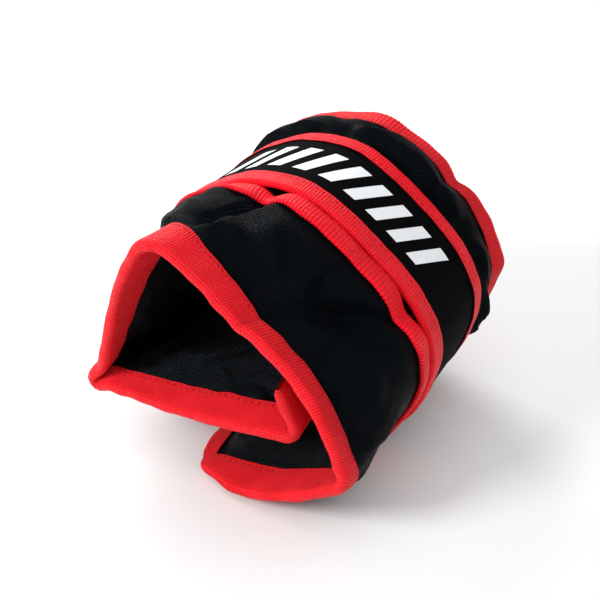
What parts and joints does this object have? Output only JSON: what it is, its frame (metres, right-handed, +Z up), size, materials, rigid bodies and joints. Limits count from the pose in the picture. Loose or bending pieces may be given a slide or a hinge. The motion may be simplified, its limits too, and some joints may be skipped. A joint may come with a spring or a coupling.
{
  "type": "ankle cuff weight",
  "caption": "Soft ankle cuff weight of sand-filled pockets with edge bindings, rolled up and held by a hook-and-loop strap.",
  "frame": {"origin": "below the middle of the bounding box, on the ground", "axes": "+Y along the ankle, from the near rim to the far rim; +Z up from the ground; +X towards the right wall"},
  "size_m": [0.135, 0.1208, 0.11],
  "materials": {
    "oxford_cover": "coated woven nylon, slight gloss",
    "nylon_lining": "plain nylon lining",
    "binding_tape": "ribbed grosgrain tape",
    "strap_web": "smooth matt webbing",
    "loop_pile": "loop pile",
    "hook_patch": "moulded hooks",
    "sand_bag": "sewn bag packed with iron sand"
  },
  "bodies": {
    "tail": {"tail_cover": "oxford_cover", "tail_lining": "nylon_lining", "tail_near_binding": "binding_tape", "tail_far_binding": "binding_tape", "tail_end_binding": "binding_tape"},
    "inner_flap": {"inner_flap_cover": "oxford_cover", "inner_flap_lining": "nylon_lining", "inner_flap_near_binding": "binding_tape", "inner_flap_far_binding": "binding_tape", "inner_flap_sand_pouch": "sand_bag", "inner_flap_loop_band": "loop_pile", "inner_flap_band_binding": "binding_tape"},
    "left_wall": {"left_wall_cover": "oxford_cover", "left_wall_lining": "nylon_lining", "left_wall_near_binding": "binding_tape", "left_wall_far_binding": "binding_tape", "left_wall_sand_pouch": "sand_bag", "left_wall_loop_band": "loop_pile", "left_wall_band_binding": "binding_tape"},
    "top_panel": {"top_panel_cover": "oxford_cover", "top_panel_lining": "nylon_lining", "top_panel_near_binding": "binding_tape", "top_panel_far_binding": "binding_tape", "top_panel_sand_pouch": "sand_bag", "top_panel_loop_band": "loop_pile", "top_panel_band_binding": "binding_tape"},
    "right_wall": {"right_wall_cover": "oxford_cover", "right_wall_lining": "nylon_lining", "right_wall_near_binding": "binding_tape", "right_wall_far_binding": "binding_tape", "right_wall_sand_pouch": "sand_bag", "right_wall_loop_band": "loop_pile", "right_wall_band_binding": "binding_tape"},
    "outer_flap": {"outer_flap_cover": "oxford_cover", "outer_flap_lining": "nylon_lining", "outer_flap_near_binding": "binding_tape", "outer_flap_far_binding": "binding_tape", "outer_flap_sand_pouch": "sand_bag", "outer_flap_loop_band": "loop_pile", "outer_flap_band_binding": "binding_tape", "outer_flap_end_binding": "binding_tape"},
    "strap_root": {"strap_root_web": "strap_web", "strap_root_near_binding": "binding_tape", "strap_root_far_binding": "binding_tape"},
    "strap_left": {"strap_left_web": "strap_web", "strap_left_near_binding": "binding_tape", "strap_left_far_binding": "binding_tape"},
    "strap_top": {"strap_top_web": "strap_web", "strap_top_near_binding": "binding_tape", "strap_top_far_binding": "binding_tape"},
    "strap_right": {"strap_right_web": "strap_web", "strap_right_near_binding": "binding_tape", "strap_right_far_binding": "binding_tape"},
    "strap_tip": {"strap_tip_web": "strap_web", "strap_tip_near_binding": "binding_tape", "strap_tip_far_binding": "binding_tape", "hook_patch": "hook_patch"}
  },
  "joints": [
    {"name": "right_wall_fold", "type": "hinge", "parent": "outer_flap", "child": "right_wall", "pos_m": [0.05583, 0, 0.022], "axis": [0, 1, 0], "range_deg": [0, 102]},
    {"name": "top_panel_fold", "type": "hinge", "parent": "right_wall", "child": "top_panel", "pos_m": [0.02583, 0, 0.085], "axis": [0, 1, 0], "range_deg": [0, 54.01]},
    {"name": "left_wall_fold", "type": "hinge", "parent": "top_panel", "child": "left_wall", "pos_m": [-0.02817, 0, 0.095], "axis": [0, 1, 0], "range_deg": [0, 78.01]},
    {"name": "inner_flap_fold", "type": "hinge", "parent": "left_wall", "child": "inner_flap", "pos_m": [-0.05417, 0, 0.032], "axis": [0, 1, 0], "range_deg": [0, 116.01]},
    {"name": "tail_fold", "type": "hinge", "parent": "inner_flap", "child": "tail", "pos_m": [0.02883, 0, 0.037], "axis": [0, 1, 0], "range_deg": [0, 115.01]},
    {"name": "strap_root_fold", "type": "hinge", "parent": "outer_flap", "child": "strap_root", "pos_m": [-0.01967, 0, 0.0046], "axis": [0, -1, 0], "range_deg": [0, 44.01]},
    {"name": "strap_left_fold", "type": "hinge", "parent": "strap_root", "child": "strap_left", "pos_m": [-0.06617, 0, 0.031], "axis": [0, -1, 0], "range_deg": [0, 80.01]},
    {"name": "strap_top_fold", "type": "hinge", "parent": "strap_left", "child": "strap_top", "pos_m": [-0.04267, 0, 0.095], "axis": [0, -1, 0], "range_deg": [0, 73.01]},
    {"name": "strap_right_fold", "type": "hinge", "parent": "strap_top", "child": "strap_right", "pos_m": [0.04383, 0, 0.0905], "axis": [0, -1, 0], "range_deg": [0, 72.01]},
    {"name": "strap_tip_fold", "type": "hinge", "parent": "strap_right", "child": "strap_tip", "pos_m": [0.06333, 0, 0.017], "axis": [0, -1, 0], "range_deg": [0, 70.01]}
  ],
  "couplings": [
    {"joint": "top_panel_fold", "follows": "right_wall_fold", "ratio": 0.52941},
    {"joint": "left_wall_fold", "follows": "right_wall_fold", "ratio": 0.76471},
    {"joint": "inner_flap_fold", "follows": "right_wall_fold", "ratio": 1.1373},
    {"joint": "tail_fold", "follows": "right_wall_fold", "ratio": 1.1275},
    {"joint": "strap_root_fold", "follows": "right_wall_fold", "ratio": 0.43137},
    {"joint": "strap_left_fold", "follows": "right_wall_fold", "ratio": 0.78431},
    {"joint": "strap_top_fold", "follows": "right_wall_fold", "ratio": 0.71569},
    {"joint": "strap_right_fold", "follows": "right_wall_fold", "ratio": 0.70588},
    {"joint": "strap_tip_fold", "follows": "right_wall_fold", "ratio": 0.68627}
  ]
}
